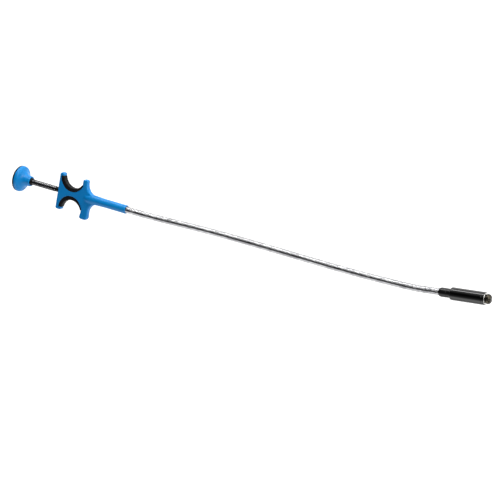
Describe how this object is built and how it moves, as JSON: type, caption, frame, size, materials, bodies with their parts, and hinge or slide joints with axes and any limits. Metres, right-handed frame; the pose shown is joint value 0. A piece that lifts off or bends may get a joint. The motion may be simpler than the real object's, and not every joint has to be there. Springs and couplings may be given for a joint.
{
  "type": "flexible claw and magnet pickup tool",
  "caption": "Flexible pickup tool: a thumb plunger and a finger-grip handle drive a cable through a chrome flex shaft to a claw that opens from a ring magnet.",
  "frame": {"origin": "centre of the thumb cap's rear face, where the thumb pushes", "axes": "+X along the handle's axis towards the tip, Y along the finger lobes, +Z square to the handle's plate"},
  "size_m": [0.6053, 0.0505, 0.0308],
  "materials": {
    "blue_plastic": "moulded blue plastic, satin gloss",
    "black_plastic": "black moulded plastic",
    "black_rubber": "soft black rubber, fine grain",
    "chrome_wire": "close-wound chromed wire",
    "bright_steel": "bright drawn steel",
    "nickel_magnet": "nickel plating",
    "claw_steel": "warm grey spring steel",
    "brass": "turned brass",
    "gloss_black": "gloss black sleeve"
  },
  "bodies": {
    "handle": {"handle_body": "blue_plastic", "finger_liner_upper": "black_rubber", "finger_liner_lower": "black_rubber", "rear_bush": "black_plastic", "guide_tube": "bright_steel", "return_spring": "bright_steel", "flex_section_1": "chrome_wire"},
    "plunger": {"thumb_disc": "black_plastic", "thumb_cap": "blue_plastic", "cap_collar": "black_plastic", "plunger_rod": "bright_steel", "cable_coupler": "brass", "inner_cable_1": "bright_steel"},
    "shaft_2": {"flex_section_2": "chrome_wire"},
    "cable_2": {"inner_cable_2": "bright_steel"},
    "shaft_3": {"flex_section_3": "chrome_wire"},
    "cable_3": {"inner_cable_3": "bright_steel"},
    "shaft_4": {"flex_section_4": "chrome_wire"},
    "cable_4": {"inner_cable_4": "bright_steel"},
    "shaft_5": {"flex_section_5": "chrome_wire"},
    "cable_5": {"inner_cable_5": "bright_steel"},
    "head": {"flex_section_6": "chrome_wire", "shaft_ferrule": "black_plastic", "head_sleeve": "gloss_black", "head_tube": "brass", "magnet_ring": "nickel_magnet"},
    "claw": {"claw_collar": "brass", "inner_cable_6": "bright_steel"},
    "finger_1": {"claw_finger_1": "claw_steel"},
    "finger_2": {"claw_finger_2": "claw_steel"},
    "finger_3": {"claw_finger_3": "claw_steel"},
    "finger_4": {"claw_finger_4": "claw_steel"}
  },
  "joints": [
    {"name": "plunger_slide", "type": "slide", "parent": "handle", "child": "plunger", "axis": [1, 0, 0], "range_m": [0, 0.012], "stiffness_N_per_m": 400, "springref_m": -0.006, "deforming": ["return_spring"]},
    {"name": "flex_bend_1", "type": "hinge", "parent": "handle", "child": "shaft_2", "pos_m": [0.1826, 0, 0], "axis": [0, 0, 1], "range_deg": [-35, 35]},
    {"name": "flex_bend_2", "type": "hinge", "parent": "shaft_2", "child": "shaft_3", "pos_m": [0.26952, 0.00364, 0], "axis": [-0.0236, 0.9997, 0], "range_deg": [-35, 35]},
    {"name": "flex_bend_3", "type": "hinge", "parent": "shaft_3", "child": "shaft_4", "pos_m": [0.35652, 0.0041, 0], "axis": [0, 0, 1], "range_deg": [-35, 35]},
    {"name": "flex_bend_4", "type": "hinge", "parent": "shaft_4", "child": "shaft_5", "pos_m": [0.44352, 0.00425, 0], "axis": [-0.0192, 0.9998, 0], "range_deg": [-35, 35]},
    {"name": "flex_bend_5", "type": "hinge", "parent": "shaft_5", "child": "head", "pos_m": [0.51747, 0.00696, 0], "axis": [0, 0, 1], "range_deg": [-35, 35]},
    {"name": "cable_slide_2", "type": "slide", "parent": "shaft_2", "child": "cable_2", "axis": [0.9991, 0.0419, 0], "range_m": [0, 0.012]},
    {"name": "cable_slide_3", "type": "slide", "parent": "shaft_3", "child": "cable_3", "axis": [1, 0.0052, 0], "range_m": [0, 0.012]},
    {"name": "cable_slide_4", "type": "slide", "parent": "shaft_4", "child": "cable_4", "axis": [1, 0.0017, 0], "range_m": [0, 0.012]},
    {"name": "cable_slide_5", "type": "slide", "parent": "shaft_5", "child": "cable_5", "axis": [0.9993, 0.0366, 0], "range_m": [0, 0.012]},
    {"name": "claw_slide", "type": "slide", "parent": "head", "child": "claw", "axis": [0.9914, 0.1305, 0], "range_m": [0, 0.012]},
    {"name": "finger_hinge_1", "type": "hinge", "parent": "claw", "child": "finger_1", "pos_m": [0.58339, 0.01421, 0.00141], "axis": [0.0923, -0.7011, -0.7071], "range_deg": [0, 18]},
    {"name": "finger_hinge_2", "type": "hinge", "parent": "claw", "child": "finger_2", "pos_m": [0.58339, 0.01421, -0.00141], "axis": [-0.0923, 0.7011, -0.7071], "range_deg": [0, 18]},
    {"name": "finger_hinge_3", "type": "hinge", "parent": "claw", "child": "finger_3", "pos_m": [0.58302, 0.01702, -0.00141], "axis": [-0.0923, 0.7011, 0.7071], "range_deg": [0, 18]},
    {"name": "finger_hinge_4", "type": "hinge", "parent": "claw", "child": "finger_4", "pos_m": [0.58302, 0.01702, 0.00141], "axis": [0.0923, -0.7011, 0.7071], "range_deg": [0, 18]}
  ],
  "couplings": [
    {"joint": "cable_slide_2", "follows": "plunger_slide", "ratio": 1},
    {"joint": "cable_slide_3", "follows": "plunger_slide", "ratio": 1},
    {"joint": "cable_slide_4", "follows": "plunger_slide", "ratio": 1},
    {"joint": "cable_slide_5", "follows": "plunger_slide", "ratio": 1},
    {"joint": "claw_slide", "follows": "plunger_slide", "ratio": 1},
    {"joint": "finger_hinge_1", "follows": "plunger_slide", "rad_per_m": 26.1},
    {"joint": "finger_hinge_2", "follows": "plunger_slide", "rad_per_m": 26.1},
    {"joint": "finger_hinge_3", "follows": "plunger_slide", "rad_per_m": 26.1},
    {"joint": "finger_hinge_4", "follows": "plunger_slide", "rad_per_m": 26.1}
  ]
}
